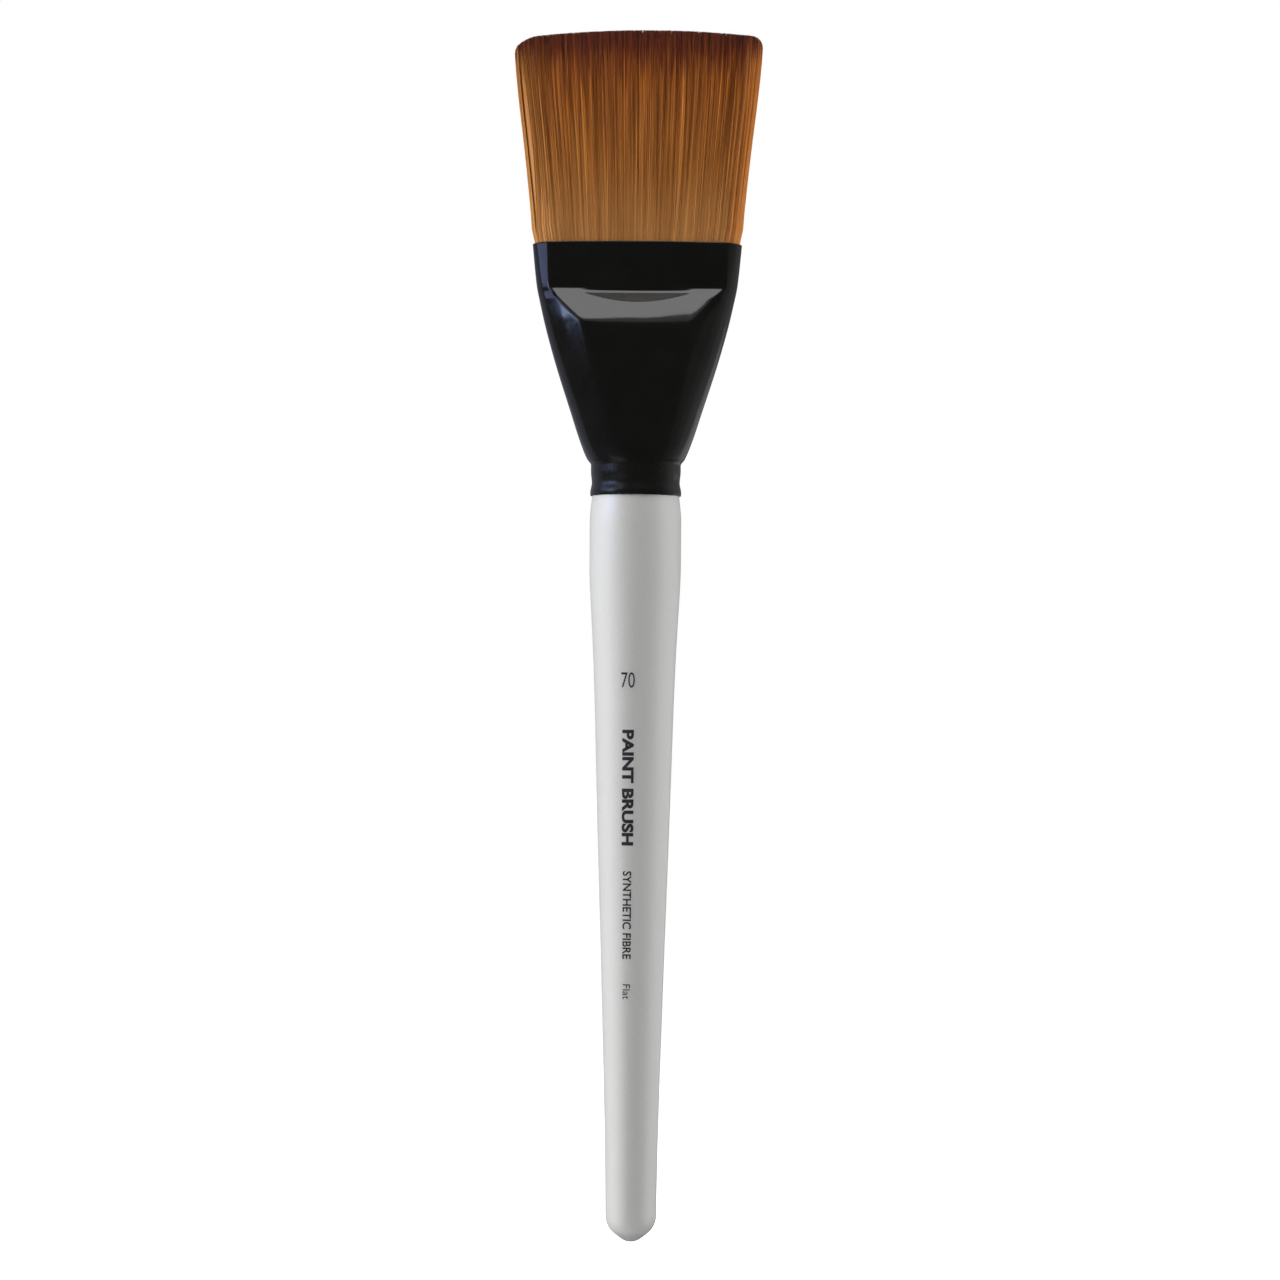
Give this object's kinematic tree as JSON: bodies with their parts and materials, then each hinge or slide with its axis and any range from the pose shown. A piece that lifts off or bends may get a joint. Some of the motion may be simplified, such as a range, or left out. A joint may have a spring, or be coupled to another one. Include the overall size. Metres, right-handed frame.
{
  "type": "paint brush",
  "caption": "Wide flat artist's wash brush: a turned wooden handle, a pressed metal ferrule and a flexing tuft of synthetic filaments.",
  "frame": {"origin": "on the brush's axis, at the middle of the cylindrical grip belt just below the ferrule, where a clip or holder takes it", "axes": "+Z along the brush from the butt to the filament tips, +X across the width of the flat tuft, -Y out of the front flat face"},
  "size_m": [0.0837, 0.0318, 0.4104],
  "materials": {
    "handle_lacquer": "turned hardwood under pearl silver-white lacquer, semi-gloss",
    "ferrule_enamel": "gloss black enamel on a drawn metal sleeve",
    "adhesive": "set adhesive, dull",
    "resin": "set epoxy, amber",
    "filament": "fine golden-brown synthetic filament with dark red-brown dipped tips"
  },
  "bodies": {
    "brush": {"handle": "handle_lacquer", "ferrule": "ferrule_enamel", "neck_adhesive": "adhesive", "resin_plug": "resin", "filament_roots": "filament"},
    "tuft": {"filament_tuft": "filament"}
  },
  "joints": [
    {"name": "tuft_flex", "type": "hinge", "parent": "brush", "child": "tuft", "pos_m": [0, 0, 0.1124], "axis": [1, 0, 0], "range_deg": [-30, 30], "stiffness_Nm_per_rad": 0.5}
  ]
}
